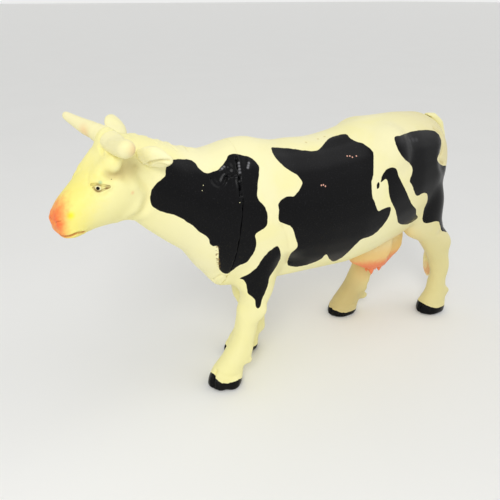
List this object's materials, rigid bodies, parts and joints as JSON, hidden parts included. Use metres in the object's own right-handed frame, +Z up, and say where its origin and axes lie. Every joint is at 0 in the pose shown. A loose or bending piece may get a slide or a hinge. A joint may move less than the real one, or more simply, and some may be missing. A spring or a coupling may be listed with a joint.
{
  "type": "toy cow figure",
  "caption": "Hollow soft-vinyl toy cow, standing, with horns, ears, udder and tail as separate plugs and a head that turns on its neck plug",
  "frame": {"origin": "on the floor under the middle of the figure's bounding box", "axes": "X runs along the cow from its head (-X) to its tail (+X), +Y is the cow's right side, +Z is up"},
  "size_m": [0.2754, 0.0657, 0.1682],
  "materials": {
    "body_vinyl": "satin soft vinyl, cream, with black coat patches and black hooves in paint",
    "head_vinyl": "satin soft vinyl, cream, with a black neck patch and a sprayed pink muzzle",
    "horn_vinyl": "satin soft vinyl, pale ivory, yellower in the creases",
    "ear_vinyl": "satin soft vinyl, cream",
    "udder_vinyl": "satin soft vinyl, cream sprayed orange pink towards the teats",
    "tail_vinyl": "satin soft vinyl, cream, with a dirty orange tint at the tuft"
  },
  "bodies": {
    "body": {"body_shell": "body_vinyl", "udder": "udder_vinyl", "tail": "tail_vinyl"},
    "head": {"head_shell": "head_vinyl", "left_horn": "horn_vinyl", "right_horn": "horn_vinyl", "left_ear": "ear_vinyl", "right_ear": "ear_vinyl"}
  },
  "joints": [
    {"name": "neck_turn", "type": "hinge", "parent": "body", "child": "head", "pos_m": [-0.04665, 0.0018, 0.1075], "axis": [-0.9914, 0, 0.1305], "range_deg": [-20, 20]}
  ]
}
